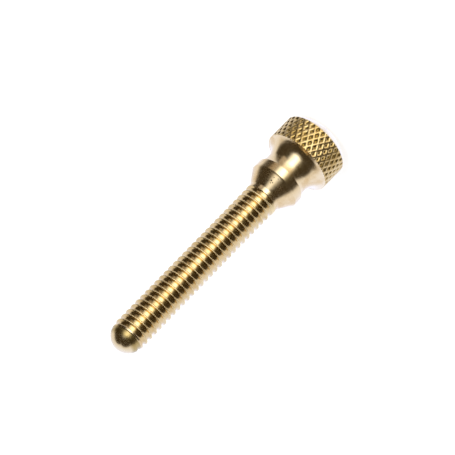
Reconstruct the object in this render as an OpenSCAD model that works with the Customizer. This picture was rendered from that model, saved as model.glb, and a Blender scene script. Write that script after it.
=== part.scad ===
// Contact screw: one turned brass piece that stands on the flat of its head.
// The axis is Z, the origin is the centre of that flat, and the contact tip is on top.

/* [Head] */
// Diameter of the head over its knurled band
head_d = 8.2; // [7.5:0.05:9]
// Length of the knurled band along the axis
knurl_len = 3.17; // [2.5:0.05:4]
// Height of the rounded crown from the flat to the knurl
crown_h = 1.1; // [0.8:0.05:1.4]
// Diameter of the flat on which the screw stands
crown_flat_d = 5.5; // [5:0.1:6]
// Number of knurl pits in each row around the head
knurl_teeth = 33; // [28:1:38]
// Number of rows of pits along the band
knurl_rows = 5; // [4:1:6]
// Depth of the diamond pits
knurl_depth = 0.22; // [0.15:0.01:0.3]
// Part of the step from pit to pit that a pit takes; the rest is the net of metal between them
pit_share = 0.68; // [0.6:0.01:0.85]
// Direction of the first pit, in degrees round the axis
knurl_turn = 9.5; // [0:0.5:10.5]

/* [Neck] */
// Length of the neck from the knurl to the collar
neck_len = 2.95; // [2.7:0.01:4]
// Diameter of the waist
waist_d = 5.62; // [5.3:0.01:5.7]
// Radius of the cove that flares from the waist to the head
cove_r = 1.85; // [1.6:0.05:2.2]
// How far the neck widens again, on the radius, between the waist and the collar
flare_rise = 0.14; // [0.05:0.01:0.18]

/* [Collar] */
// Diameter of the collar
collar_d = 6.25; // [6.1:0.05:6.8]
// Length of the collar along the axis
collar_len = 1.14; // [0.7:0.01:1.5]
// Width of the break on both edges of the collar
collar_break = 0.04; // [0.03:0.01:0.1]
// Length of the taper from the collar to the shank
taper_len = 1.66; // [1.2:0.02:3]

/* [Shank] */
// Length of the shank from the small end of the taper to the tip
shank_len = 25.18; // [18:0.1:40]
// Diameter over the thread crests
thread_d = 4.1; // [3.95:0.01:4.2]
// Radius of the domed tip
tip_r = 1.95; // [1.8:0.01:1.97]
// Distance from one crest to the next
thread_pitch = 0.792; // [0.75:0.002:0.85]
// Part of the pitch that the flat crest takes
crest_share = 0.125; // [0.1:0.005:0.18]
// Part of the pitch that the flat bottom of the groove takes
root_share = 0.42; // [0.3:0.01:0.5]
// Plain length between the taper and the middle of the last groove
plain_len = 0.66; // [0.5:0.02:2]
// Turns over which the groove fades out
fade_turns = 0.35; // [0.2:0.05:1]
// Direction in which the groove ends, in degrees round the axis
groove_end_angle = 200; // [0:5:355]

/* [Hidden] */
$fn = 96;

head_r = head_d / 2;
waist_r = waist_d / 2;
collar_r = collar_d / 2;
thread_r = thread_d / 2;
crown_flat_r = crown_flat_d / 2;

// Stations along the axis, from the flat upwards
knurl_z = crown_h;
rim_z = knurl_z + knurl_len;
collar_z = rim_z + neck_len;
taper_z = collar_z + collar_len;
shank_z = taper_z + taper_len;
tip_z = shank_z + shank_len;
dome_z = tip_z - tip_r;
tip_break = thread_r - tip_r;

// The crown is a zone of a sphere through the edge of the flat and the edge of the knurl
crown_centre_z = (head_r * head_r - crown_flat_r * crown_flat_r + crown_h * crown_h) / (2 * crown_h);
crown_r = norm([crown_flat_r, crown_centre_z]);

// The cove starts at the waist and ends at the rim of the head
cove_centre_r = waist_r + cove_r;
waist_z = rim_z + sqrt(cove_r * cove_r - pow(cove_centre_r - head_r, 2));

// The flare is an arc that leaves the waist where the cove ends and rises to the collar
flare_len = collar_z - waist_z;
flare_r = (flare_len * flare_len + flare_rise * flare_rise) / (2 * flare_rise);

// The thread has flanks at 30 degrees to the radius
flank_angle = 30;
thread_depth = thread_pitch * (1 - crest_share - root_share) / 2 / tan(flank_angle);
root_r = thread_r - thread_depth;
root_half = thread_pitch * root_share / 2;
groove_over = 0.05;
groove_outer_r = thread_r + groove_over;
groove_half = root_half + (groove_outer_r - root_r) * tan(flank_angle);
thread_steps = 24;
groove_end_z = shank_z + plain_len;
groove_start_z = dome_z + tip_r - thread_pitch / 4;
groove_steps = ceil((groove_start_z - groove_end_z) / thread_pitch * thread_steps);
fade_steps = fade_turns * thread_steps;

// The pits meet above the band, and spare rows run past it, so that crown and rim cut them clean
knurl_row_h = knurl_len / knurl_rows;
knurl_columns = 2 * knurl_teeth;
knurl_first_z = knurl_z + knurl_row_h / 2;
knurl_meet_r = head_r - knurl_depth + knurl_depth / pit_share;
sleeve_wall = 0.3;
knurl_outer_r = knurl_meet_r + sleeve_wall;
knurl_spare_rows = 1;

contact_screw();

// The screw: a turned blank, threaded on the shank and knurled on the head
module contact_screw() {
    color("#c8a45c")
    difference() {
        turned_blank();
        thread_groove();
        knurl_cutter();
    }
}

// The blank before threading and knurling
module turned_blank() {
    rotate_extrude() {
        crown_profile();
        neck_profile();
        shank_profile();
    }
}

// Crown and band of the head
module crown_profile() {
    intersection() {
        translate([0, crown_centre_z]) circle(r = crown_r);
        square([head_r, knurl_z]);
    }
    translate([0, knurl_z]) square([head_r, knurl_len]);
}

// Waist between the head and the collar, flared to both sides
module neck_profile() {
    difference() {
        translate([0, rim_z]) square([head_r, waist_z - rim_z]);
        translate([cove_centre_r, waist_z]) circle(r = cove_r);
    }
    difference() {
        translate([0, waist_z]) square([waist_r + flare_rise, flare_len]);
        translate([waist_r + flare_r, waist_z]) circle(r = flare_r);
    }
}

// Collar with broken edges, taper, plain shank and domed tip
module shank_profile() {
    polygon([
        [0, collar_z],
        [collar_r - collar_break, collar_z],
        [collar_r, collar_z + collar_break],
        [collar_r, taper_z - collar_break],
        [collar_r - collar_break, taper_z],
        [thread_r, shank_z],
        [thread_r, dome_z - tip_break],
        [tip_r, dome_z],
        [0, dome_z],
    ]);
    intersection() {
        translate([0, dome_z]) circle(r = tip_r);
        translate([0, dome_z]) square(tip_r);
    }
}

// One point of the groove's section at a step from its head end
function groove_point(step, r, across) =
    let (
        angle = groove_end_angle + 360 * step / thread_steps,
        lift = (groove_outer_r - root_r) * max(0, 1 - step / fade_steps),
        z = groove_end_z + thread_pitch * step / thread_steps
    )
    [(r + lift) * cos(angle), (r + lift) * sin(angle), z + across];

// Right-hand groove that starts beyond the dome and fades out before the taper
module thread_groove() {
    corners = 4;
    points = [
        for (step = [0:groove_steps])
            each [
                groove_point(step, root_r, -root_half),
                groove_point(step, groove_outer_r, -groove_half),
                groove_point(step, groove_outer_r, groove_half),
                groove_point(step, root_r, root_half),
            ],
    ];
    sides = [
        for (step = [0:groove_steps - 1], side = [0:corners - 1])
            let (
                a = step * corners + side,
                b = step * corners + (side + 1) % corners
            )
            each [[a, b, a + corners], [b, b + corners, a + corners]],
    ];
    last = groove_steps * corners;
    ends = [[3, 2, 1, 0], [last, last + 1, last + 2, last + 3]];
    polyhedron(points, concat(sides, ends), convexity = 10);
}

// Direction of a column and height of a row of the knurl; spare rows come first
function knurl_angle(column) = knurl_turn + 360 * column / knurl_columns;
function knurl_height(row) = knurl_first_z + (row - knurl_spare_rows) * knurl_row_h;

// Pits and the points where their edges meet take turns along and around
function is_pit(column, row) = (column + row + knurl_spare_rows) % 2 == 0;

// One point of the sleeve's inner face
function knurl_point(column, row) =
    let (
        angle = knurl_angle(column),
        r = is_pit(column, row) ? head_r - knurl_depth : knurl_meet_r
    )
    [r * cos(angle), r * sin(angle), knurl_height(row)];

// Sleeve whose inner face carries the negative of the diamond pits
module knurl_cutter() {
    rows = knurl_rows - 1 + 2 * knurl_spare_rows;
    columns = knurl_columns;
    inner = [
        for (row = [0:rows], column = [0:columns - 1])
            knurl_point(column, row),
    ];
    outer = [
        for (row = [0, rows], column = [0:columns - 1])
            let (angle = knurl_angle(column))
            [knurl_outer_r * cos(angle), knurl_outer_r * sin(angle), knurl_height(row)],
    ];
    outer_low = len(inner);
    outer_high = outer_low + columns;
    // Each cell is split along the edge of the pit that it belongs to
    cells = [
        for (row = [0:rows - 1], column = [0:columns - 1])
            let (
                next = (column + 1) % columns,
                a = row * columns + column,
                b = row * columns + next,
                c = a + columns,
                d = b + columns
            )
            each is_pit(column, row) ? [[a, b, c], [b, d, c]] : [[a, b, d], [a, d, c]],
    ];
    walls = [
        for (column = [0:columns - 1])
            let (
                next = (column + 1) % columns,
                top = rows * columns
            )
            each [
                [outer_low + column, outer_high + column, outer_high + next, outer_low + next],
                [column, outer_low + next, next],
                [column, outer_low + column, outer_low + next],
                [top + next, outer_high + column, top + column],
                [top + next, outer_high + next, outer_high + column],
            ],
    ];
    polyhedron(concat(inner, outer), concat(cells, walls), convexity = 10);
}
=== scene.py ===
"""Dresses the contact screw: one turned brass piece with a cut thread and a diamond-knurled head."""

import logging
import math
from dataclasses import dataclass, field
from enum import Enum
from typing import Any, Optional, Sequence

import bpy
from mathutils import Matrix, Vector


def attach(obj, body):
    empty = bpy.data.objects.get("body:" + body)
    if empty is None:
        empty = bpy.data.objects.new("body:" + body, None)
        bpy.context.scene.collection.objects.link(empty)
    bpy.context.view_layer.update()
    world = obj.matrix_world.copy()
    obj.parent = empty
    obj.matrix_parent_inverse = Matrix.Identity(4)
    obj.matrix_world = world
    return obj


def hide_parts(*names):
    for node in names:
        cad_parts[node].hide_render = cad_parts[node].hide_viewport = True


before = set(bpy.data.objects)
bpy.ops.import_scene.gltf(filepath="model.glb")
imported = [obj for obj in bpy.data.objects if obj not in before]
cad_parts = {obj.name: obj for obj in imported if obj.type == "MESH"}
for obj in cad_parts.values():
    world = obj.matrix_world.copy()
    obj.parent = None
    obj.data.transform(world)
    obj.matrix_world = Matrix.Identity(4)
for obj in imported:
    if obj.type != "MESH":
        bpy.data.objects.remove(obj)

LOG = logging.getLogger("contact_screw")

NODE = "contact_screw"
BODY = "root"
MM = 0.001
CAMERA_SIDE = 270.0
MATH = "ShaderNodeMath"
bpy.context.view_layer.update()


def linear(code: str) -> tuple[float, float, float, float]:
    """Turns an sRGB hex colour into linear light.

    Args:
        code: Colour as "#rrggbb".

    Returns:
        Red, green, blue and an alpha of 1.
    """
    channels = []
    for start in (1, 3, 5):
        value = int(code[start:start + 2], 16) / 255
        channels.append(value / 12.92 if value <= 0.04045 else ((value + 0.055) / 1.055) ** 2.4)
    return (channels[0], channels[1], channels[2], 1.0)


def add_node(
    tree: bpy.types.NodeTree, kind: str, links: Sequence[Any] = (), out: Any = 0, **settings: Any
) -> Optional[bpy.types.NodeSocket]:
    """Adds a node with its settings, links and constant inputs.

    Args:
        tree: Tree that gets the node.
        kind: Blender's name for the kind of node.
        links: What goes to the inputs in order: a socket, a constant, or None to leave one alone.
            A pair of an input's name or number and a value sets that input.
        out: Name or number of the output that is given back.
        settings: Properties of the node.

    Returns:
        The chosen output, or None for a node without outputs.
    """
    node = tree.nodes.new(kind)
    for name, value in settings.items():
        setattr(node, name, value)
    for place, item in enumerate(links):
        named = isinstance(item, tuple) and len(item) == 2
        socket = node.inputs[item[0]] if named else node.inputs[place]
        value = item[1] if named else item
        if value is None:
            continue
        if isinstance(value, bpy.types.NodeSocket):
            tree.links.new(value, socket)
        else:
            socket.default_value = value
    return node.outputs[out] if node.outputs else None


def ramp(
    tree: bpy.types.NodeTree,
    value: bpy.types.NodeSocket,
    ends: tuple[float, float],
    levels: tuple[float, float] = (0.0, 1.0),
    soft: bool = True,
) -> bpy.types.NodeSocket:
    """Adds a ramp from one level to another.

    Args:
        tree: Tree that gets the node.
        value: What the ramp depends on.
        ends: Values at which the ramp starts and ends; the first may be the larger.
        levels: Levels before and after the ramp.
        soft: Whether the ramp starts and ends gently.

    Returns:
        The level.
    """
    kind = "SMOOTHSTEP" if soft else "LINEAR"
    return add_node(tree, "ShaderNodeMapRange", (value, *ends, *levels), interpolation_type=kind)


def blend(
    tree: bpy.types.NodeTree, share: bpy.types.NodeSocket, first: Any, second: Any
) -> bpy.types.NodeSocket:
    """Adds a mix of two colours.

    Args:
        tree: Tree that gets the node.
        share: Share of the second colour.
        first: First colour, as a socket or as four linear channels.
        second: Second colour, in the same way.

    Returns:
        The mixed colour.
    """
    mixed = (("Factor", share), (6, first), (7, second))
    return add_node(tree, "ShaderNodeMix", mixed, out=2, data_type="RGBA")


@dataclass(frozen=True)
class ScrewSizes:
    """Driving sizes of the screw in millimetres, the same values as in the part's source.

    Two cuts are a little flatter than there, as in the photograph: root_share is wider, which makes
    the thread shallower, and the knurl's pits have sizes of their own in KnurlCut.
    """

    head_d: float = 8.2
    knurl_len: float = 3.17
    crown_h: float = 1.1
    crown_flat_d: float = 5.5
    knurl_teeth: int = 33
    knurl_rows: int = 5
    knurl_turn: float = 9.5
    neck_len: float = 2.95
    waist_d: float = 5.62
    cove_r: float = 1.85
    flare_rise: float = 0.14
    collar_d: float = 6.25
    collar_len: float = 1.14
    collar_break: float = 0.04
    taper_len: float = 1.66
    shank_len: float = 25.18
    thread_d: float = 4.1
    tip_r: float = 1.95
    tip_break: float = 0.1
    thread_pitch: float = 0.792
    crest_share: float = 0.125
    root_share: float = 0.54
    flank_angle: float = 30.0
    plain_len: float = 0.66
    fade_turns: float = 0.35
    groove_end_angle: float = 200.0
    groove_over: float = 0.05

    @property
    def head_r(self) -> float:
        """Radius over the knurled band."""
        return self.head_d / 2

    @property
    def waist_r(self) -> float:
        """Radius of the waist."""
        return self.waist_d / 2

    @property
    def collar_r(self) -> float:
        """Radius of the collar."""
        return self.collar_d / 2

    @property
    def collar_edge_r(self) -> float:
        """Radius of the collar inside the breaks of its edges."""
        return self.collar_r - self.collar_break

    @property
    def thread_r(self) -> float:
        """Radius over the thread crests."""
        return self.thread_d / 2

    @property
    def knurl_z(self) -> float:
        """Height at which the knurl starts."""
        return self.crown_h

    @property
    def rim_z(self) -> float:
        """Height of the head's rim, where the cove starts."""
        return self.knurl_z + self.knurl_len

    @property
    def collar_z(self) -> float:
        """Height of the collar's lower face."""
        return self.rim_z + self.neck_len

    @property
    def taper_z(self) -> float:
        """Height of the collar's upper edge."""
        return self.collar_z + self.collar_len

    @property
    def shank_z(self) -> float:
        """Height of the taper's small end."""
        return self.taper_z + self.taper_len

    @property
    def tip_z(self) -> float:
        """Height of the tip."""
        return self.shank_z + self.shank_len

    @property
    def dome_z(self) -> float:
        """Height of the centre of the dome."""
        return self.tip_z - self.tip_r

    @property
    def root_r(self) -> float:
        """Radius at the bottom of the thread groove."""
        share = 1 - self.crest_share - self.root_share
        return self.thread_r - self.thread_pitch * share / 2 / math.tan(math.radians(self.flank_angle))

    @property
    def groove_end_z(self) -> float:
        """Height of the middle of the groove where it ends."""
        return self.shank_z + self.plain_len

    @property
    def groove_lift(self) -> float:
        """How far the groove rises until it has left the metal."""
        return self.thread_r + self.groove_over - self.root_r

    def crown_radius(self, z: float) -> float:
        """Radius of the crown at a height.

        Args:
            z: Height in millimetres.

        Returns:
            Radius in millimetres.
        """
        flat_r = self.crown_flat_d / 2
        centre_z = (self.head_r ** 2 - flat_r ** 2 + self.crown_h ** 2) / (2 * self.crown_h)
        sphere_r = math.hypot(flat_r, centre_z)
        return math.sqrt(sphere_r ** 2 - (z - centre_z) ** 2)

    def taper_radius(self, z: float) -> float:
        """Radius of the taper at a height.

        Args:
            z: Height in millimetres.

        Returns:
            Radius in millimetres.
        """
        along = (z - self.taper_z) / self.taper_len
        return self.collar_edge_r + (self.thread_r - self.collar_edge_r) * along

    def shank_radius(self, z: float) -> float:
        """Radius of the unthreaded shank and of its dome at a height.

        Args:
            z: Height in millimetres.

        Returns:
            Radius in millimetres.
        """
        above = z - self.dome_z
        if above >= 0:
            return math.sqrt(max(0.0, self.tip_r ** 2 - above ** 2))
        narrow = max(0.0, 1 + above / self.tip_break)
        return self.thread_r - (self.thread_r - self.tip_r) * narrow


@dataclass
class Surface:
    """Points and faces of a closed surface that is built ring by ring."""

    start_angle: float = 0.0
    points: list[tuple[float, float, float]] = field(default_factory=list)
    faces: list[tuple[int, ...]] = field(default_factory=list)

    def point(self, radius: float, angle: float, z: float) -> int:
        """Adds one point.

        Args:
            radius: Distance from the axis in millimetres.
            angle: Direction round the axis in radians, from the start angle.
            z: Height in millimetres.

        Returns:
            The point's number.
        """
        angle += math.radians(self.start_angle)
        self.points.append((radius * math.cos(angle) * MM, radius * math.sin(angle) * MM, z * MM))
        return len(self.points) - 1

    def ring(self, radius: float, z: float, count: int) -> list[int]:
        """Adds a ring of points.

        Args:
            radius: Radius in millimetres.
            z: Height in millimetres.
            count: Number of points; 1 gives a point on the axis.

        Returns:
            The points' numbers.
        """
        return [self.point(radius, 2 * math.pi * i / count, z) for i in range(count)]

    def face(self, *corners: int) -> None:
        """Adds a face, without the corners that fall together."""
        kept = [c for i, c in enumerate(corners) if c != corners[i - 1]]
        if len(set(kept)) >= 3:
            self.faces.append(tuple(kept))

    def bridge(self, low: Sequence[int], high: Sequence[int]) -> None:
        """Joins two rings with faces that point outwards.

        Args:
            low: Ring that comes first along the profile.
            high: Next ring, with as many points, half as many, or one.
        """
        total = len(low)
        if len(high) * 2 == total:
            for k in range(len(high)):
                after = (k + 1) % len(high)
                middle = low[2 * k + 1]
                self.face(low[2 * k], middle, high[k])
                self.face(middle, low[(2 * k + 2) % total], high[after])
                self.face(middle, high[after], high[k])
            return
        for i in range(max(total, len(high))):
            j = i + 1
            self.face(low[i % total], low[j % total], high[j % len(high)], high[i % len(high)])

    def diamond_bridge(self, low: Sequence[int], high: Sequence[int], cell_row: int, steps: int) -> None:
        """Joins two rings inside the knurl with triangles whose long sides follow the grooves.

        Args:
            low: Lower ring.
            high: Upper ring, with as many points.
            cell_row: Number of the knurl row that both rings belong to.
            steps: Points on the ring for each half step of the knurl.
        """
        total = len(low)
        for i in range(total):
            j = (i + 1) % total
            if (i // steps + cell_row) % 2 == 0:
                self.face(low[i], low[j], high[j])
                self.face(low[i], high[j], high[i])
            else:
                self.face(low[i], low[j], high[i])
                self.face(low[j], high[j], high[i])

    def mesh(self, name: str) -> bpy.types.Mesh:
        """Turns the surface into a mesh.

        Args:
            name: Name of the mesh.

        Returns:
            The mesh.
        """
        data = bpy.data.meshes.new(name)
        data.from_pydata(self.points, [], self.faces)
        data.validate()
        data.update()
        return data


@dataclass
class TurnedBlank:
    """The screw as it leaves the lathe, before threading and knurling.

    The counts say how finely each length is divided. The rows that follow the thread end on the dome,
    thread_top millimetres above its centre.
    """

    sizes: ScrewSizes
    head_steps: int = 4
    shank_columns: int = 132
    flat_rings: int = 3
    crown_rings: int = 12
    cove_rings: int = 28
    flare_rings: int = 14
    taper_rings: int = 10
    dome_rings: int = 16
    root_steps: int = 6
    flank_steps: int = 4
    crest_steps: int = 2
    spare_turns: int = 2
    thread_top: float = 1.2

    @property
    def head_columns(self) -> int:
        """Points on a ring of the head."""
        return 2 * self.sizes.knurl_teeth * self.head_steps

    def build(self) -> bpy.types.Mesh:
        """Builds the closed surface from the flat of the head to the tip.

        Returns:
            The mesh of the blank.
        """
        surface = Surface(self.sizes.knurl_turn)
        ring = self._head(surface)
        ring = self._neck(surface, ring)
        ring = self._taper(surface, ring)
        ring = self._shank(surface, ring)
        self._dome(surface, ring)
        return surface.mesh("turned_blank")

    def _head(self, surface: Surface) -> list[int]:
        """Builds the flat, the crown and the band of the head.

        Args:
            surface: Surface that gets the rings.

        Returns:
            The ring at the rim.
        """
        s = self.sizes
        flat_r = s.crown_flat_d / 2
        ring = surface.ring(0, 0, 1)
        for k in range(1, self.flat_rings + 1):
            ring = self._next(surface, ring, flat_r * k / self.flat_rings, 0)
        for k in range(1, self.crown_rings + 1):
            z = s.crown_h * k / self.crown_rings
            ring = self._next(surface, ring, s.crown_radius(z), z)
        steps = s.knurl_rows * self.head_steps
        for step in range(steps):
            z = s.knurl_z + s.knurl_len * (step + 1) / steps
            upper = surface.ring(s.head_r, z, self.head_columns)
            row = (step + self.head_steps // 2) // self.head_steps
            surface.diamond_bridge(ring, upper, row, self.head_steps)
            ring = upper
        return ring

    def _neck(self, surface: Surface, ring: list[int]) -> list[int]:
        """Builds the cove, the flare beyond the waist and the collar.

        Args:
            surface: Surface that gets the rings.
            ring: Ring at the rim of the head.

        Returns:
            The ring at the collar's upper edge.
        """
        s = self.sizes
        centre_r = s.waist_r + s.cove_r
        last = math.acos((centre_r - s.head_r) / s.cove_r)
        waist_z = s.rim_z + s.cove_r * math.sin(last)
        for k in range(1, self.cove_rings + 1):
            angle = last * (1 - k / self.cove_rings)
            radius = centre_r - s.cove_r * math.cos(angle)
            ring = self._next(surface, ring, radius, waist_z - s.cove_r * math.sin(angle))
        length = s.collar_z - waist_z
        flare_r = (length ** 2 + s.flare_rise ** 2) / (2 * s.flare_rise)
        end = math.asin(length / flare_r)
        for k in range(1, self.flare_rings + 1):
            angle = end * k / self.flare_rings
            radius = s.waist_r + flare_r * (1 - math.cos(angle))
            ring = self._next(surface, ring, radius, waist_z + flare_r * math.sin(angle))
        ring = self._next(surface, ring, s.collar_edge_r, s.collar_z)
        ring = self._next(surface, ring, s.collar_r, s.collar_z + s.collar_break)
        ring = self._next(surface, ring, s.collar_r, s.taper_z - s.collar_break)
        return self._next(surface, ring, s.collar_edge_r, s.taper_z)

    def _taper(self, surface: Surface, ring: list[int]) -> list[int]:
        """Builds the taper, which also halves the number of points.

        Args:
            surface: Surface that gets the rings.
            ring: Ring at the collar's upper edge.

        Returns:
            The ring at the taper's small end.
        """
        s = self.sizes
        for k in range(1, self.taper_rings + 1):
            z = s.taper_z + s.taper_len * k / self.taper_rings
            count = self.shank_columns if k == self.taper_rings else self.head_columns
            ring = self._next(surface, ring, s.taper_radius(z), z, count)
        return ring

    def _thread_phases(self) -> list[float]:
        """Sets out the rows of points across one turn of the thread.

        Returns:
            Places of the rows in turns, from the middle of the groove.
        """
        s = self.sizes
        root = s.root_share / 2
        edge = 0.5 - s.crest_share / 2
        places = [2 * root * k / self.root_steps - root for k in range(self.root_steps + 1)]
        for k in range(1, self.flank_steps + 1):
            place = root + (edge - root) * k / self.flank_steps
            places += [-place, place]
        places += [edge + s.crest_share * k / self.crest_steps for k in range(1, self.crest_steps)]
        return sorted(places)

    def _shank(self, surface: Surface, ring: list[int]) -> list[int]:
        """Builds the shank with rows that follow the thread.

        Args:
            surface: Surface that gets the rows.
            ring: Ring at the taper's small end.

        Returns:
            The ring on the dome where the rows end.
        """
        s = self.sizes
        columns = self.shank_columns
        top_z = s.dome_z + self.thread_top
        top = surface.ring(s.shank_radius(top_z), top_z, columns)
        phases = self._thread_phases()
        last_turn = math.ceil((top_z - s.groove_end_z) / s.thread_pitch) + self.spare_turns
        heights = [turn + phase for turn in range(-self.spare_turns, last_turn + 1) for phase in phases]
        rows = []
        for height in heights:
            row = []
            for i in range(columns):
                angle = 2 * math.pi * i / columns
                turned = i / columns + (s.knurl_turn - s.groove_end_angle) / 360
                z = s.groove_end_z + s.thread_pitch * (height + turned)
                if z <= s.shank_z:
                    row.append(ring[i])
                elif z >= top_z:
                    row.append(top[i])
                else:
                    row.append(surface.point(s.shank_radius(z), angle, z))
            rows.append(row)
        shift = len(phases)
        for j in range(len(rows) - 1):
            for i in range(columns):
                if i + 1 < columns:
                    right_low, right_high = rows[j][i + 1], rows[j + 1][i + 1]
                else:
                    right_low = rows[min(j + shift, len(rows) - 1)][0]
                    right_high = rows[min(j + 1 + shift, len(rows) - 1)][0]
                surface.face(rows[j][i], right_low, right_high, rows[j + 1][i])
        return top

    def _dome(self, surface: Surface, ring: list[int]) -> None:
        """Closes the tip.

        Args:
            surface: Surface that gets the rings.
            ring: Ring on the dome where the thread rows end.
        """
        s = self.sizes
        start = math.asin(self.thread_top / s.tip_r)
        for k in range(1, self.dome_rings):
            angle = start + (math.pi / 2 - start) * k / self.dome_rings
            z = s.dome_z + s.tip_r * math.sin(angle)
            ring = self._next(surface, ring, s.tip_r * math.cos(angle), z, self.shank_columns)
        surface.bridge(ring, surface.ring(0, s.tip_z, 1))

    def _next(
        self, surface: Surface, ring: list[int], radius: float, z: float, count: Optional[int] = None
    ) -> list[int]:
        """Adds the next ring of the profile and joins it to the last.

        Args:
            surface: Surface that gets the ring.
            ring: Last ring.
            radius: Radius of the new ring in millimetres.
            z: Height of the new ring in millimetres.
            count: Points on the new ring; a head ring if left out.

        Returns:
            The new ring.
        """
        new = surface.ring(radius, z, count or self.head_columns)
        surface.bridge(ring, new)
        return new


@dataclass
class Cut:
    """A cut into the blank, made by a tree of geometry nodes that draws points towards the axis."""

    name: str
    inputs: dict[str, float]
    finish: bpy.types.Material
    zone: tuple[float, float]

    def apply(self, piece: bpy.types.Object) -> None:
        """Puts the cut on a piece as a modifier.

        Args:
            piece: Object that is cut.
        """
        tree = bpy.data.node_groups.new(self.name, "GeometryNodeTree")
        tree.interface.new_socket(name="Blank", in_out="INPUT", socket_type="NodeSocketGeometry")
        tree.interface.new_socket(name="Cut", in_out="OUTPUT", socket_type="NodeSocketGeometry")
        sockets = {}
        for label, value in self.inputs.items():
            socket = tree.interface.new_socket(name=label, in_out="INPUT", socket_type="NodeSocketFloat")
            socket.default_value = value
            sockets[label] = socket.identifier
        start = tree.nodes.new("NodeGroupInput")
        position = add_node(tree, "GeometryNodeInputPosition")
        axes = add_node(tree, "ShaderNodeSeparateXYZ", (position,)).node.outputs
        turn = add_node(tree, MATH, (axes["Y"], axes["X"]), operation="ARCTAN2")
        turn = add_node(tree, MATH, (turn, 2 * math.pi), operation="DIVIDE")
        depth_r = self.radius(tree, start.outputs, turn, axes["Z"])
        flat = add_node(tree, "ShaderNodeCombineXYZ", (axes["X"], axes["Y"], 0.0))
        radius = add_node(tree, "ShaderNodeVectorMath", (flat,), out="Value", operation="LENGTH")
        edge = start.outputs["Edge round"]
        least = add_node(tree, MATH, (radius, depth_r, edge), operation="SMOOTH_MIN")
        share = add_node(tree, MATH, (least, radius), operation="DIVIDE")
        drawn = add_node(tree, "ShaderNodeVectorMath", (flat, None, None, share), operation="SCALE")
        height = add_node(tree, "ShaderNodeCombineXYZ", (0.0, 0.0, axes["Z"]))
        place = add_node(tree, "ShaderNodeVectorMath", (drawn, height), operation="ADD")
        moved = add_node(tree, "GeometryNodeSetPosition", (start.outputs["Blank"], None, place))
        whole = add_node(tree, "GeometryNodeRealizeInstances", (moved,))
        above = add_node(tree, MATH, (axes["Z"], self.zone[0]), operation="GREATER_THAN")
        below = add_node(tree, MATH, (axes["Z"], self.zone[1]), operation="LESS_THAN")
        inside = add_node(tree, MATH, (above, below), operation="MULTIPLY")
        dressed = add_node(tree, "GeometryNodeSetMaterial", (whole, inside, self.finish))
        end = tree.nodes.new("NodeGroupOutput")
        tree.links.new(dressed, end.inputs["Cut"])
        modifier = piece.modifiers.new(self.name, "NODES")
        modifier.node_group = tree
        for label, value in self.inputs.items():
            modifier[sockets[label]] = value

    def radius(
        self, tree: bpy.types.NodeTree, given: Any, turn: bpy.types.NodeSocket, z: bpy.types.NodeSocket
    ) -> bpy.types.NodeSocket:
        """Adds the nodes that give the cut's radius.

        Args:
            tree: Tree that gets the nodes.
            given: Outputs of the tree's input node.
            turn: Direction round the axis in turns.
            z: Height in metres.

        Returns:
            Radius down to which the cut reaches.
        """
        raise NotImplementedError


class ThreadCut(Cut):
    """A right-hand groove with straight flanks and a rounded root that fades out at its head end."""

    def radius(
        self, tree: bpy.types.NodeTree, given: Any, turn: bpy.types.NodeSocket, z: bpy.types.NodeSocket
    ) -> bpy.types.NodeSocket:
        """Adds the nodes that give the groove's radius.

        Args:
            tree: Tree that gets the nodes.
            given: Outputs of the tree's input node.
            turn: Direction round the axis in turns.
            z: Height in metres.

        Returns:
            Radius of the groove's wall.
        """
        height = add_node(tree, MATH, (z, given["End height"]), operation="SUBTRACT")
        turns_up = add_node(tree, MATH, (height, given["Pitch"]), operation="DIVIDE")
        turn_on = add_node(tree, MATH, (turn, given["End turn"]), operation="SUBTRACT")
        wound = add_node(tree, MATH, (turns_up, turn_on), operation="SUBTRACT")
        nearest = add_node(tree, MATH, (wound,), operation="ROUND")
        phase = add_node(tree, MATH, (wound, nearest), operation="SUBTRACT")
        aside = add_node(tree, MATH, (phase,), operation="ABSOLUTE")
        aside = add_node(tree, MATH, (aside, given["Pitch"]), operation="MULTIPLY")
        beyond = add_node(tree, MATH, (aside, given["Root half width"]), operation="SUBTRACT")
        root = given["Root radius"]
        flank = add_node(tree, MATH, (beyond, given["Flank slope"], root), operation="MULTIPLY_ADD")
        flank = add_node(tree, MATH, (root, flank, given["Root round"]), operation="SMOOTH_MAX")
        along = add_node(tree, MATH, (turns_up, phase), operation="SUBTRACT")
        faded = add_node(tree, MATH, (along, given["Fade turns"]), operation="DIVIDE")
        left = add_node(tree, MATH, (1.0, faded), operation="SUBTRACT")
        left = add_node(tree, MATH, (left, 0.0), operation="MAXIMUM")
        return add_node(tree, MATH, (left, given["Lift"], flank), operation="MULTIPLY_ADD")

    @classmethod
    def of(
        cls,
        sizes: ScrewSizes,
        finish: bpy.types.Material,
        root_round: float = 0.1,
        edge_round: float = 0.05,
        spare: float = 0.125,
    ) -> "ThreadCut":
        """Sets up the thread from the screw's sizes.

        Args:
            sizes: Sizes of the screw.
            finish: Material of the thread.
            root_round: Depth over which the root runs into the flanks, in millimetres.
            edge_round: Depth over which the flanks run into the crest, in millimetres.
            spare: How far below the groove's end its finish starts, in turns.

        Returns:
            The cut.
        """
        inputs = {
            "Pitch": sizes.thread_pitch * MM,
            "Root radius": sizes.root_r * MM,
            "Root half width": sizes.thread_pitch * sizes.root_share / 2 * MM,
            "Flank slope": 1 / math.tan(math.radians(sizes.flank_angle)),
            "End height": sizes.groove_end_z * MM,
            "End turn": sizes.groove_end_angle / 360,
            "Fade turns": sizes.fade_turns,
            "Lift": sizes.groove_lift * MM,
            "Root round": root_round * MM,
            "Edge round": edge_round * MM,
        }
        low = sizes.groove_end_z - sizes.thread_pitch * spare
        return cls("thread_cut", inputs, finish, (low * MM, sizes.dome_z * MM))


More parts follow.
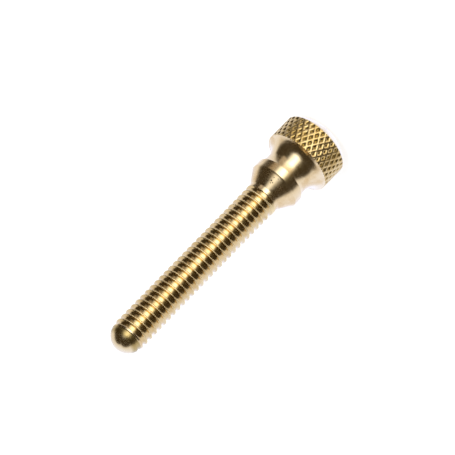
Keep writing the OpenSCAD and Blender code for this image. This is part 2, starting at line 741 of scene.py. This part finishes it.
class KnurlCut(Cut):
    """Rows of pressed diamond pits that leave a net of metal between them."""

    def radius(
        self, tree: bpy.types.NodeTree, given: Any, turn: bpy.types.NodeSocket, z: bpy.types.NodeSocket
    ) -> bpy.types.NodeSocket:
        """Adds the nodes that give the knurl's radius.

        Args:
            tree: Tree that gets the nodes.
            given: Outputs of the tree's input node.
            turn: Direction round the axis in turns.
            z: Height in metres.

        Returns:
            Radius of the knurl's face.
        """
        turned = add_node(tree, MATH, (turn, given["Start turn"]), operation="SUBTRACT")
        column = add_node(tree, MATH, (turned, given["Teeth"]), operation="MULTIPLY")
        height = add_node(tree, MATH, (z, given["Start height"]), operation="SUBTRACT")
        row = add_node(tree, MATH, (height, given["Row step"]), operation="DIVIDE")
        offs = []
        for sense in ("ADD", "SUBTRACT"):
            line = add_node(tree, MATH, (column, row), operation=sense)
            nearest = add_node(tree, MATH, (line,), operation="ROUND")
            off = add_node(tree, MATH, (line, nearest), operation="SUBTRACT")
            offs.append(add_node(tree, MATH, (off,), operation="ABSOLUTE"))
        aside = add_node(tree, MATH, (offs[0], offs[1]), operation="MAXIMUM")
        aside = add_node(tree, MATH, (aside, given["Floor share"]), operation="MAXIMUM")
        wall = (aside, given["Wall slope"], given["Deepest radius"])
        return add_node(tree, MATH, wall, operation="MULTIPLY_ADD")

    @classmethod
    def of(
        cls,
        sizes: ScrewSizes,
        finish: bpy.types.Material,
        depth: float = 0.16,
        share: float = 0.75,
        floor: float = 0.12,
        edge_round: float = 0.07,
    ) -> "KnurlCut":
        """Sets up the knurl from the screw's sizes.

        Args:
            sizes: Sizes of the screw.
            finish: Material of the knurl.
            depth: Depth in millimetres at which the walls of a pit would meet.
            share: Width of a pit as a part of the step from pit to pit.
            floor: Half width of a pit's flat bottom, as a part of the same step.
            edge_round: Depth over which the walls run into the net, in millimetres.

        Returns:
            The cut.
        """
        row_h = sizes.knurl_len / sizes.knurl_rows
        inputs = {
            "Teeth": float(sizes.knurl_teeth),
            "Start turn": sizes.knurl_turn / 360,
            "Start height": (sizes.knurl_z + row_h / 2) * MM,
            "Row step": 2 * row_h * MM,
            "Wall slope": 2 * depth / share * MM,
            "Deepest radius": (sizes.head_r - depth) * MM,
            "Floor share": floor,
            "Edge round": edge_round * MM,
        }
        return cls("knurl_cut", inputs, finish, (sizes.knurl_z * MM, sizes.rim_z * MM))


class Finish(Enum):
    """The ways in which the brass was worked, and the names of their materials."""

    TURNED = "turned_brass"
    THREADED = "die_cut_brass"
    KNURLED = "knurled_brass"


@dataclass(frozen=True)
class Band:
    """A change of look that depends on the distance from the axis, in millimetres."""

    start: float
    end: float
    colour: str
    roughness: float


@dataclass(frozen=True)
class Speck:
    """A small dark pit in a turned face, in millimetres and degrees from the camera's side."""

    turn: float
    z: float
    radius: float
    size: float

    @property
    def place(self) -> tuple[float, float, float]:
        """Place of the pit in metres."""
        angle = math.radians(CAMERA_SIDE - self.turn)
        return (self.radius * math.cos(angle) * MM, self.radius * math.sin(angle) * MM, self.z * MM)


@dataclass(frozen=True)
class Brass:
    """Bare brass without lacquer, with tool marks round the axis and duller patches, in millimetres."""

    finish: Finish
    colour: str
    dull_colour: str
    roughness: float
    dull_roughness: float
    patch: float = 1.6
    patch_detail: float = 4.0
    patch_ends: tuple[float, float] = (0.42, 0.72)
    mark_step: float = 0.08
    mark_detail: float = 3.0
    mark_height: float = 0.0012
    mark_squash: float = 0.02
    mark_ends: tuple[float, float] = (0.3, 0.7)
    mark_rough: tuple[float, float] = (-0.03, 0.03)
    bands: tuple[Band, ...] = ()
    specks: tuple[Speck, ...] = ()
    speck_colour: str = "#2a2114"
    speck_roughness: float = 0.6

    def material(self) -> bpy.types.Material:
        """Builds the material.

        Returns:
            The material.
        """
        made = bpy.data.materials.new(self.finish.value)
        made.use_nodes = True
        tree = made.node_tree
        tree.nodes.clear()
        place = add_node(tree, "ShaderNodeTexCoord", out="Object")
        # Softly clouded: some patches are a shade darker and less bright
        clouds = (place, ("Scale", 1 / (self.patch * MM)), ("Detail", self.patch_detail))
        cloud = add_node(tree, "ShaderNodeTexNoise", clouds)
        dull = ramp(tree, cloud, self.patch_ends)
        colour = blend(tree, dull, linear(self.colour), linear(self.dull_colour))
        rough = ramp(tree, dull, (0.0, 1.0), (self.roughness, self.dull_roughness), soft=False)
        # Fine rings left by the tool, a little uneven round the axis
        squash = ("Scale", (self.mark_squash, self.mark_squash, 1.0))
        squashed = add_node(tree, "ShaderNodeMapping", (place, squash))
        marks = (squashed, ("Scale", 1 / (self.mark_step * MM)), ("Detail", self.mark_detail))
        rings = add_node(tree, "ShaderNodeTexNoise", marks)
        raised = (("Strength", 1.0), ("Distance", self.mark_height * MM), ("Height", rings))
        bump = add_node(tree, "ShaderNodeBump", raised, out="Normal")
        ring_rough = ramp(tree, rings, self.mark_ends, self.mark_rough, soft=False)
        rough = add_node(tree, MATH, (rough, ring_rough), operation="ADD")
        # Crests, pit bottoms and the dome differ from the rest by their distance from the axis; there the
        # bands hold a painted highlight on the crests and painted shade in the pit bottoms and on the
        # dome
        flat = add_node(tree, "ShaderNodeVectorMath", (place, (1.0, 1.0, 0.0)), operation="MULTIPLY")
        radius = add_node(tree, "ShaderNodeVectorMath", (flat,), out="Value", operation="LENGTH")
        changes = []
        for band in self.bands:
            inside = ramp(tree, radius, (band.start * MM, band.end * MM))
            changes.append((inside, band.colour, band.roughness))
        # Single dark pits in the turned face
        for speck in self.specks:
            apart = (place, speck.place)
            off = add_node(tree, "ShaderNodeVectorMath", apart, out="Value", operation="DISTANCE")
            inside = ramp(tree, off, (speck.size * MM, speck.size * MM / 2))
            changes.append((inside, self.speck_colour, self.speck_roughness))
        for inside, code, roughness in changes:
            colour = blend(tree, inside, colour, linear(code))
            rough = add_node(tree, "ShaderNodeMix", (("Factor", inside), (2, rough), (3, roughness)))
        shader = add_node(
            tree,
            "ShaderNodeBsdfPrincipled",
            (("Base Color", colour), ("Metallic", 1.0), ("Roughness", rough), ("Normal", bump)),
            out="BSDF",
        )
        add_node(tree, "ShaderNodeOutputMaterial", (shader,))
        return made


@dataclass
class ContactScrew:
    """The whole screw as one closed mesh."""

    sizes: ScrewSizes = field(default_factory=ScrewSizes)
    sharp_angle: float = 25.0
    # Turn, height and size of each dark pit on the taper
    speck_places: tuple[tuple[float, float, float], ...] = (
        (-13.4, 8.78, 0.07),
        (-14.5, 9.15, 0.11),
        (-8.5, 9.24, 0.08),
        (-12.0, 9.38, 0.07),
        (-4.0, 8.64, 0.07),
    )

    def build(self) -> bpy.types.Object:
        """Returns:
            The finished object.
        """
        made = {look.finish: look.material() for look in self._looks()}
        blank = bpy.data.objects.new("screw_blank", TurnedBlank(self.sizes).build())
        blank.data.materials.append(made[Finish.TURNED])
        bpy.context.scene.collection.objects.link(blank)
        ThreadCut.of(self.sizes, made[Finish.THREADED]).apply(blank)
        KnurlCut.of(self.sizes, made[Finish.KNURLED]).apply(blank)
        graph = bpy.context.evaluated_depsgraph_get()
        mesh = bpy.data.meshes.new_from_object(blank.evaluated_get(graph))
        mesh.name = "brass_contact_screw"
        bpy.data.meshes.remove(blank.data)
        mesh.polygons.foreach_set("use_smooth", [True] * len(mesh.polygons))
        mesh.set_sharp_from_angle(angle=math.radians(self.sharp_angle))
        piece = bpy.data.objects.new("brass_contact_screw", mesh)
        bpy.context.scene.collection.objects.link(piece)
        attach(piece, BODY)
        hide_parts(NODE)
        mesh.calc_loop_triangles()
        LOG.info("%s: %d triangles", piece.name, len(mesh.loop_triangles))
        return piece

    def _looks(self) -> tuple[Brass, ...]:
        """Sets out how the turned, threaded and knurled faces look.

        Returns:
            One look for each finish.
        """
        s = self.sizes
        # Pale and bright, almost white where light falls on it, with a darker, duller ring on the dome
        # that is painted shade dimming the highlight which falls there, and a few dark pits on the taper
        turned = Brass(
            finish=Finish.TURNED,
            colour="#ead6ae",
            dull_colour="#dcc08e",
            roughness=0.2,
            dull_roughness=0.28,
            bands=(
                Band(start=s.tip_r - 0.01, end=s.tip_r - 0.08, colour="#b8a26c", roughness=0.3),
                Band(start=s.tip_r - 0.2, end=s.tip_r - 0.5, colour="#e2cfa6", roughness=0.24),
            ),
            specks=self._taper_specks(),
        )
        # Richer yellow and brighter, the deeper yellow partly painted shade for the colour light takes on
        # in the grooves; the crests are rubbed rougher and also painted paler, a painted highlight along
        # a soft line
        crest = Band(start=s.thread_r - 0.03, end=s.thread_r - 0.012, colour="#f4e0ae", roughness=0.5)
        threaded = Brass(
            finish=Finish.THREADED,
            colour="#d8bf8c",
            dull_colour="#cbae74",
            roughness=0.15,
            dull_roughness=0.22,
            mark_step=0.05,
            bands=(crest,),
        )
        # Yellow net, painted less bright than the rest as painted shade over the knurled band, between
        # pits whose bottoms are painted dark as painted shade in the hollows
        pit = Band(start=s.head_r - 0.03, end=s.head_r - 0.12, colour="#947834", roughness=0.32)
        knurled = Brass(
            finish=Finish.KNURLED,
            colour="#d8bf88",
            dull_colour="#c8aa6a",
            roughness=0.28,
            dull_roughness=0.34,
            bands=(pit,),
        )
        return turned, threaded, knurled

    def _taper_specks(self) -> tuple[Speck, ...]:
        """Places the dark pits on the taper.

        Returns:
            The pits.
        """
        radius = self.sizes.taper_radius
        return tuple(Speck(turn, z, radius(z), size) for turn, z, size in self.speck_places)


@dataclass(frozen=True)
class SoftLight:
    """A soft-edged light in the studio bowl, in degrees as the screw sees it.

    Its edges lie half way down their slopes, and feather is half the width of a slope.
    """

    turns: tuple[float, float]
    rises: tuple[float, float]
    strength: float
    feather: float = 6.0
    colour: str = "#ffffff"


@dataclass
class Studio:
    """Floor, bowl, lamp, white surround and camera; lengths in millimetres, angles in degrees.

    The camera's values come from the photograph: where the axis runs through it, at which angle and tilt,
    and how many pixels a millimetre takes up. Turns and rises are those of the method direction.
    """

    sizes: ScrewSizes = field(default_factory=ScrewSizes)
    tilt: float = 23.4
    image_px: float = 455.0
    focal_px: float = 3606.0
    scale_px_per_mm: float = 9.03
    axis_px: tuple[float, float] = (228.6, 232.6)
    axis_z: float = 16.19
    axis_angle: float = 45.75
    sensor: float = 36.0
    clip_start: float = 10.0
    bowl_radius: float = 250.0
    bowl_steps: int = 48
    surround_fill: float = 0.6
    floor_size: float = 3000.0
    floor_steps: int = 64
    floor_colour: tuple[float, float, float, float] = (0.35, 0.35, 0.36, 1.0)
    floor_glow: float = 0.8
    lamp_size: float = 250.0
    lamp_power: float = 1.2
    lamp_aim: tuple[float, float] = (-40.0, 55.0)
    lamp_distance: float = 400.0
    # Brown cloth in the shade, and paper that is warm white near it and a bluer, brighter white beyond
    cloth: str = "#443a2a"
    paper: tuple[float, float, float] = (0.97, 0.92, 0.9)
    paper_far: tuple[float, float, float] = (1.16, 1.3, 1.85)
    paper_fade: float = 95.0
    paper_turn: float = -20.0
    paper_reach: float = 95.0
    paper_feather: float = 8.0
    paper_low_rises: tuple[float, float] = (-24.0, -64.0)
    paper_low_shift: float = 24.0
    paper_low_widen: float = 50.0
    paper_high_rises: tuple[float, float] = (32.0, 92.0)
    lights: tuple[SoftLight, ...] = (
        # Window that makes the long highlight, its bright middle and its upper end
        SoftLight((-39.0, 7.0), (-36.0, 34.0), 1.2, 8.0),
        SoftLight((-24.0, -1.0), (-36.0, 30.0), 1.3, 9.0),
        SoftLight((-32.0, -6.0), (25.0, 48.0), 0.9, 10.0),
        # Table below the window, which the flare of the waist mirrors
        SoftLight((-42.0, 12.0), (-78.0, -31.0), 1.15, 10.0, "#fff8ee"),
        # Dimmer strip beside the window, and a haze over it
        SoftLight((-68.0, -46.0), (-45.0, -19.0), 0.5, 5.0, "#ffeee0"),
        SoftLight((-14.0, 14.0), (-60.0, 15.0), 0.2, 22.0, "#f0e2b0"),
        # Table round the head, and its brighter part on the left
        SoftLight((-200.0, 200.0), (-100.0, -58.0), 0.25, 12.0, "#ffe2cc"),
        SoftLight((-105.0, -35.0), (-80.0, -52.0), 1.0, 9.0, "#ffeee0"),
    )

    def build(self) -> None:
        """Builds the whole stage."""
        self._camera()
        self._world()
        self._floor()
        self._bowl()
        self._lamp()

    def direction(self, turn: float, rise: float) -> Vector:
        """Direction from the screw in the photograph's terms.

        Args:
            turn: Degrees round the axis from the camera's side, to the lower right of the picture.
            rise: Degrees from square to the axis towards the tip.

        Returns:
            The direction as a unit vector.
        """
        a, b = math.radians(turn), math.radians(rise)
        return Vector((-math.sin(a) * math.cos(b), -math.cos(a) * math.cos(b), math.sin(b)))

    def _camera(self) -> None:
        """Places the camera at the photograph's angle and distance."""
        tilt = math.radians(self.tilt)
        back = Vector((0, -math.cos(tilt), math.sin(tilt)))
        level = Vector((1, 0, 0))
        rising = Vector((0, math.sin(tilt), math.cos(tilt)))
        along = math.radians(self.axis_angle)
        right = -math.sin(along) * level - math.cos(along) * rising
        up = math.cos(along) * level - math.sin(along) * rising
        middle = self.image_px / 2
        off_right = (middle - self.axis_px[0]) / self.scale_px_per_mm * MM
        off_up = (self.axis_px[1] - middle) / self.scale_px_per_mm * MM
        target = Vector((0, 0, self.axis_z * MM)) + off_right * right + off_up * up
        distance = self.focal_px / self.scale_px_per_mm * MM
        data = bpy.data.cameras.new("camera")
        data.sensor_width = self.sensor
        data.lens = self.focal_px / self.image_px * self.sensor
        data.clip_start = self.clip_start * MM
        camera = bpy.data.objects.new("camera", data)
        place = target + distance * back
        camera.matrix_world = Matrix(
            (
                (right.x, up.x, back.x, place.x),
                (right.y, up.y, back.y, place.y),
                (right.z, up.z, back.z, place.z),
                (0, 0, 0, 1),
            )
        )
        bpy.context.scene.collection.objects.link(camera)
        bpy.context.scene.camera = camera

    def _world(self) -> None:
        """Makes the surround white for the eye and the metal, and a soft fill for the rest."""
        world = bpy.data.worlds.new("white_surround")
        world.use_nodes = True
        tree = world.node_tree
        tree.nodes.clear()
        path = add_node(tree, "ShaderNodeLightPath").node.outputs
        seen = add_node(tree, MATH, (path["Is Camera Ray"], path["Is Glossy Ray"]), operation="MAXIMUM")
        seen = add_node(tree, MATH, (seen, path["Is Transmission Ray"]), operation="MAXIMUM")
        strength = ramp(tree, seen, (0.0, 1.0), (self.surround_fill, 1.0), soft=False)
        light = add_node(tree, "ShaderNodeBackground", ((1.0, 1.0, 1.0, 1.0), strength))
        add_node(tree, "ShaderNodeOutputWorld", (light,))
        bpy.context.scene.world = world

    def _floor(self) -> None:
        """Lays a pale floor that looks white and keeps a faint shadow."""
        surface = Surface()
        rim = surface.ring(self.floor_size / 2, 0, self.floor_steps)
        surface.bridge(rim, surface.ring(0, 0, 1))
        floor = bpy.data.objects.new("floor", surface.mesh("floor"))
        material = bpy.data.materials.new("white_paper")
        material.use_nodes = True
        tree = material.node_tree
        tree.nodes.clear()
        path = add_node(tree, "ShaderNodeLightPath").node.outputs
        glow = add_node(tree, MATH, (path["Is Camera Ray"], self.floor_glow), operation="MULTIPLY")
        paper = add_node(tree, "ShaderNodeBsdfDiffuse", (self.floor_colour,))
        light = add_node(tree, "ShaderNodeEmission", ((1.0, 1.0, 1.0, 1.0), glow))
        both = add_node(tree, "ShaderNodeAddShader", (paper, light))
        add_node(tree, "ShaderNodeOutputMaterial", (both,))
        floor.data.materials.append(material)
        floor.visible_glossy = False
        bpy.context.scene.collection.objects.link(floor)

    def _bowl(self) -> None:
        """Hangs a ball of cloth, paper and soft lights round the screw, which only the metal sees."""
        surface = Surface()
        middle = self.sizes.tip_z / 2
        ring = surface.ring(0, middle - self.bowl_radius, 1)
        for k in range(1, self.bowl_steps):
            rise = math.pi * (k / self.bowl_steps - 0.5)
            z = middle + self.bowl_radius * math.sin(rise)
            upper = surface.ring(self.bowl_radius * math.cos(rise), z, 2 * self.bowl_steps)
            surface.bridge(ring, upper)
            ring = upper
        surface.bridge(ring, surface.ring(0, middle + self.bowl_radius, 1))
        bowl = bpy.data.objects.new("studio_bowl", surface.mesh("studio_bowl"))
        bowl.data.materials.append(self._bowl_paint())
        bowl.visible_camera = False
        bowl.visible_diffuse = False
        bowl.visible_transmission = False
        bowl.visible_shadow = False
        bpy.context.scene.collection.objects.link(bowl)

    def _bowl_paint(self) -> bpy.types.Material:
        """Paints the bowl: dark cloth on the camera's side, white paper behind, and soft lights.

        Returns:
            The material.
        """
        material = bpy.data.materials.new("dark_cloth_with_lights")
        material.use_nodes = True
        material.cycles.emission_sampling = "NONE"
        tree = material.node_tree
        tree.nodes.clear()
        place = add_node(tree, "ShaderNodeTexCoord", out="Object")
        middle = (0.0, 0.0, self.sizes.tip_z / 2 * MM)
        away = add_node(tree, "ShaderNodeVectorMath", (place, middle), operation="SUBTRACT")
        away = add_node(tree, "ShaderNodeVectorMath", (away,), operation="NORMALIZE")
        back = add_node(tree, "ShaderNodeVectorMath", (away, (-1.0, -1.0, 1.0)), operation="MULTIPLY")
        axes = add_node(tree, "ShaderNodeSeparateXYZ", (back,)).node.outputs
        turn = add_node(tree, MATH, (axes["X"], axes["Y"]), operation="ARCTAN2")
        turn = add_node(tree, MATH, (turn,), operation="DEGREES")
        rise = add_node(tree, MATH, (axes["Z"],), operation="ARCSINE")
        rise = add_node(tree, MATH, (rise,), operation="DEGREES")
        cloth = add_node(tree, "ShaderNodeEmission", (linear(self.cloth), 1.0))
        for light in self.lights:
            level: Any = light.strength
            for angle, (low, high) in ((turn, light.turns), (rise, light.rises)):
                for edge, soft in ((low, light.feather), (high, -light.feather)):
                    shade = ramp(tree, angle, (edge - soft, edge + soft))
                    level = add_node(tree, MATH, (level, shade), operation="MULTIPLY")
            glow = add_node(tree, "ShaderNodeEmission", (linear(light.colour), level))
            cloth = add_node(tree, "ShaderNodeAddShader", (cloth, glow))
        # The paper starts beyond a turn to either side, comes nearer below and closes off behind above
        low = ramp(tree, rise, self.paper_low_rises, soft=False)
        high = ramp(tree, rise, self.paper_high_rises)
        aim = add_node(tree, MATH, (low, self.paper_low_shift, self.paper_turn), operation="MULTIPLY_ADD")
        off = add_node(tree, MATH, (turn, aim), operation="SUBTRACT")
        off = add_node(tree, MATH, (off, -180.0, 180.0), operation="WRAP")
        off = add_node(tree, MATH, (off,), operation="ABSOLUTE")
        left = 180.0 - self.paper_reach
        reach = add_node(tree, MATH, (high, left, self.paper_reach), operation="MULTIPLY_ADD")
        reach = add_node(tree, MATH, (low, -self.paper_low_widen, reach), operation="MULTIPLY_ADD")
        beyond = add_node(tree, MATH, (off, reach), operation="SUBTRACT")
        white = ramp(tree, beyond, (-self.paper_feather, self.paper_feather))
        fade = ramp(tree, beyond, (0.0, self.paper_fade), soft=False)
        tint = blend(tree, fade, (*self.paper, 1.0), (*self.paper_far, 1.0))
        paper = add_node(tree, "ShaderNodeEmission", (tint, 1.0))
        whole = add_node(tree, "ShaderNodeMixShader", (white, cloth, paper))
        add_node(tree, "ShaderNodeOutputMaterial", (whole,))
        return material

    def _lamp(self) -> None:
        """Hangs the soft lamp that lights the floor."""
        data = bpy.data.lights.new("soft_lamp", "AREA")
        data.shape = "DISK"
        data.size = self.lamp_size * MM
        data.energy = self.lamp_power
        lamp = bpy.data.objects.new("soft_lamp", data)
        middle = Vector((0, 0, self.sizes.tip_z / 2 * MM))
        place = middle + self.direction(*self.lamp_aim) * self.lamp_distance * MM
        facing = (middle - place).to_track_quat("-Z", "Y").to_matrix().to_4x4()
        lamp.matrix_world = Matrix.Translation(place) @ facing
        lamp.visible_glossy = False
        bpy.context.scene.collection.objects.link(lamp)


def main() -> None:
    """Builds the screw and its stage."""
    logging.basicConfig(level=logging.INFO, format="%(name)s: %(message)s")
    bpy.context.scene.view_settings.view_transform = "Standard"
    ContactScrew().build()
    Studio().build()


if __name__ == "__main__":
    main()
